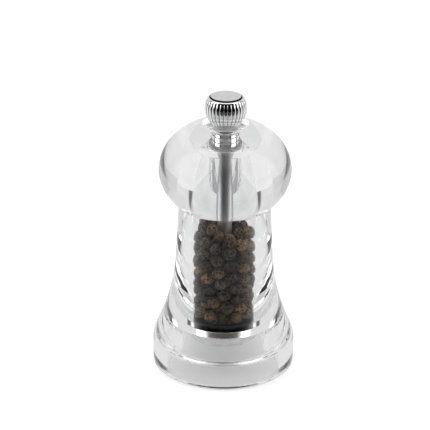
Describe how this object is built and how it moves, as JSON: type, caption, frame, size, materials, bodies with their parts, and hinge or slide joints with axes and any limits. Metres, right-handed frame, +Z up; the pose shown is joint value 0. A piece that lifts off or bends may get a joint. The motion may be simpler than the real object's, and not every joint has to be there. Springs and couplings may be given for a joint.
{
  "type": "pepper mill",
  "caption": "Clear acrylic pepper mill with a ball-shaped turning head, a fluted chrome adjusting knob, a steel shaft and a toothed steel grinder in the foot, filled with black peppercorns.",
  "frame": {"origin": "middle of the ring-shaped face that the mill stands on", "axes": "+Z up along the turning axis of the head and shaft; X along the retaining bar under the grinder"},
  "size_m": [0.0508, 0.0508, 0.102],
  "materials": {
    "acrylic": "polished clear acrylic",
    "chrome": "bright chrome plate",
    "steel": "drawn and polished steel",
    "burr_steel": "hardened, dark",
    "brass": "turned, nickel flashed",
    "nylon": "natural, satin",
    "peppercorn": "dried, wrinkled"
  },
  "bodies": {
    "mill_body": {"body": "acrylic", "burr_housing": "chrome", "outer_burr": "burr_steel", "retaining_bar": "steel", "bar_bush": "nylon", "bar_screws": "steel", "peppercorns": "peppercorn"},
    "spring_seat": {"spring_washer": "steel", "spring": "steel"},
    "grinder_shaft": {"shaft": "steel", "inner_burr": "burr_steel", "burr_clip": "steel"},
    "turning_head": {"head": "acrylic", "drive_bush": "steel", "knob_washer": "nylon"},
    "adjusting_knob": {"knob": "chrome", "knob_cap": "chrome", "knob_insert": "brass"}
  },
  "joints": [
    {"name": "head_turn", "type": "hinge", "parent": "mill_body", "child": "spring_seat", "pos_m": [0, 0, 0.0117], "axis": [0, 0, 1], "continuous": true},
    {"name": "head_lift", "type": "slide", "parent": "spring_seat", "child": "turning_head", "axis": [0, 0, 1], "range_m": [0, 0.045]},
    {"name": "knob_turn", "type": "hinge", "parent": "turning_head", "child": "adjusting_knob", "pos_m": [0, 0, 0.0973], "axis": [0, 0, 1], "range_deg": [0, 560]},
    {"name": "grind_adjust", "type": "slide", "parent": "spring_seat", "child": "grinder_shaft", "axis": [0, 0, 1], "range_m": [-0.00105, 0], "deforming": ["spring"]}
  ],
  "couplings": [
    {"joint": "knob_turn", "follows": "grind_adjust", "rad_per_m": -8976}
  ]
}
